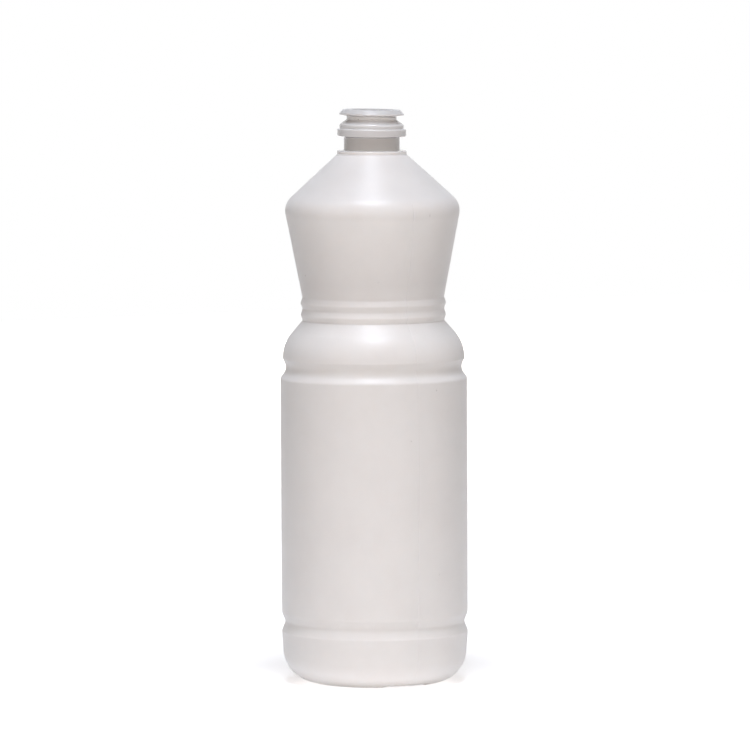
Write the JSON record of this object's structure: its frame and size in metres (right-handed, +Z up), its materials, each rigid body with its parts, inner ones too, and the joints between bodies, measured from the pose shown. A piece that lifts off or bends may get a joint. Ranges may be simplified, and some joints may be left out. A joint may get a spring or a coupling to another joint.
{
  "type": "plastic bottle",
  "caption": "Slim round blow-moulded household bottle with a flared grip over ribs, a grooved label panel and an open push-on neck for pouring or dosing a liquid.",
  "frame": {"origin": "centre of the foot ring, on the floor that the bottle stands on", "axes": "+Z up the bottle's axis towards the mouth; the mould's parting plane is x = 0, so the seams and the pinch-off channel lie towards +Y and -Y"},
  "size_m": [0.076, 0.076, 0.2334],
  "materials": {
    "milky_plastic": "satin, slightly translucent milky polyethylene, uncoloured"
  },
  "bodies": {
    "root": {"bottle": "milky_plastic"}
  },
  "joints": []
}
